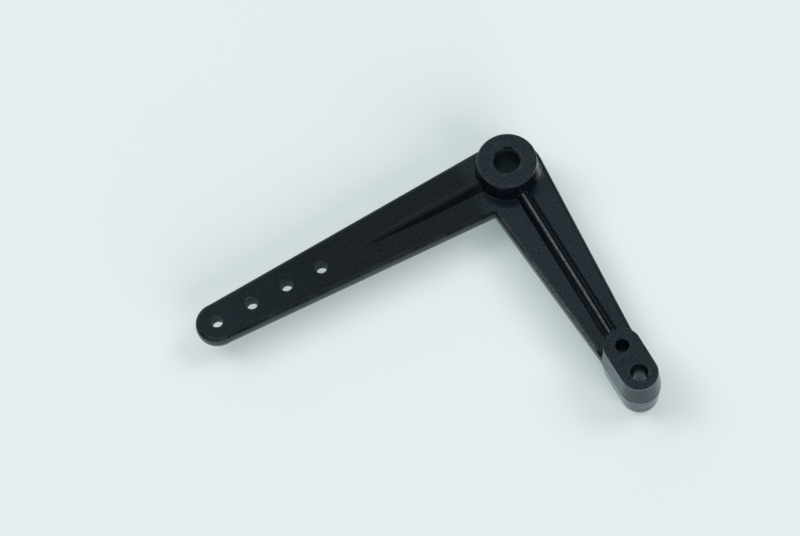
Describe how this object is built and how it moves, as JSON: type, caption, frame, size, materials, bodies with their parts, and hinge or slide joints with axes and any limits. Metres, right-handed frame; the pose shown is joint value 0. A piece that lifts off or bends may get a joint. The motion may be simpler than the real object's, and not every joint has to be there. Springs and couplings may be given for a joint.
{
  "type": "bellcrank",
  "caption": "Right-angle control lever moulded in one piece: tall pivot hub, long flat arm with a row of link holes, short ribbed arm ending in a thick drilled block.",
  "frame": {"origin": "on the pivot axis, half way up the hub, in the mould's parting plane", "axes": "+X along the long arm, +Y along the short arm, +Z along the pivot axis"},
  "size_m": [0.0707, 0.0585, 0.0114],
  "materials": {
    "black_nylon": "black glass-filled nylon, satin, fine moulded grain"
  },
  "bodies": {
    "root": {"bellcrank_lever": "black_nylon"}
  },
  "joints": []
}
